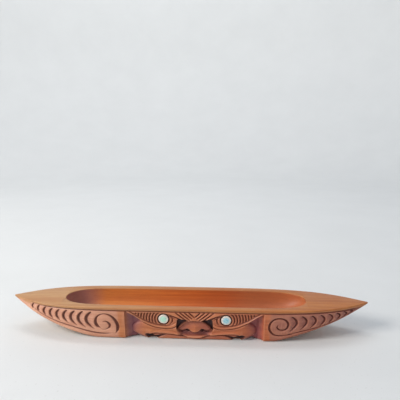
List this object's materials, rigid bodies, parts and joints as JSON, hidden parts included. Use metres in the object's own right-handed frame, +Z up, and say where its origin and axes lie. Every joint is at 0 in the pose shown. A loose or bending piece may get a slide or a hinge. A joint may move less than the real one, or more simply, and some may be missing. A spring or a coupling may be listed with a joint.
{
  "type": "carved wooden bowl",
  "caption": "Long canoe-shaped wooden bowl with pointed ends and a round-floored trough, carved on both sides with a mask, shell eyes, spirals and crescent cuts.",
  "frame": {"origin": "middle of the flat underside, on the surface the bowl stands on", "axes": "+X along the bowl to its right end as seen from the front, -Y out of the front side, +Z up"},
  "size_m": [0.37, 0.0568, 0.034],
  "materials": {
    "carved_wood": "satin, oiled, reddish brown with darker cuts",
    "inlay_shell": "polished pearly shell, green to blue"
  },
  "bodies": {
    "root": {"bowl_body": "carved_wood", "eye_inlay_front_left": "inlay_shell", "eye_inlay_front_right": "inlay_shell", "eye_inlay_back_left": "inlay_shell", "eye_inlay_back_right": "inlay_shell"}
  },
  "joints": []
}
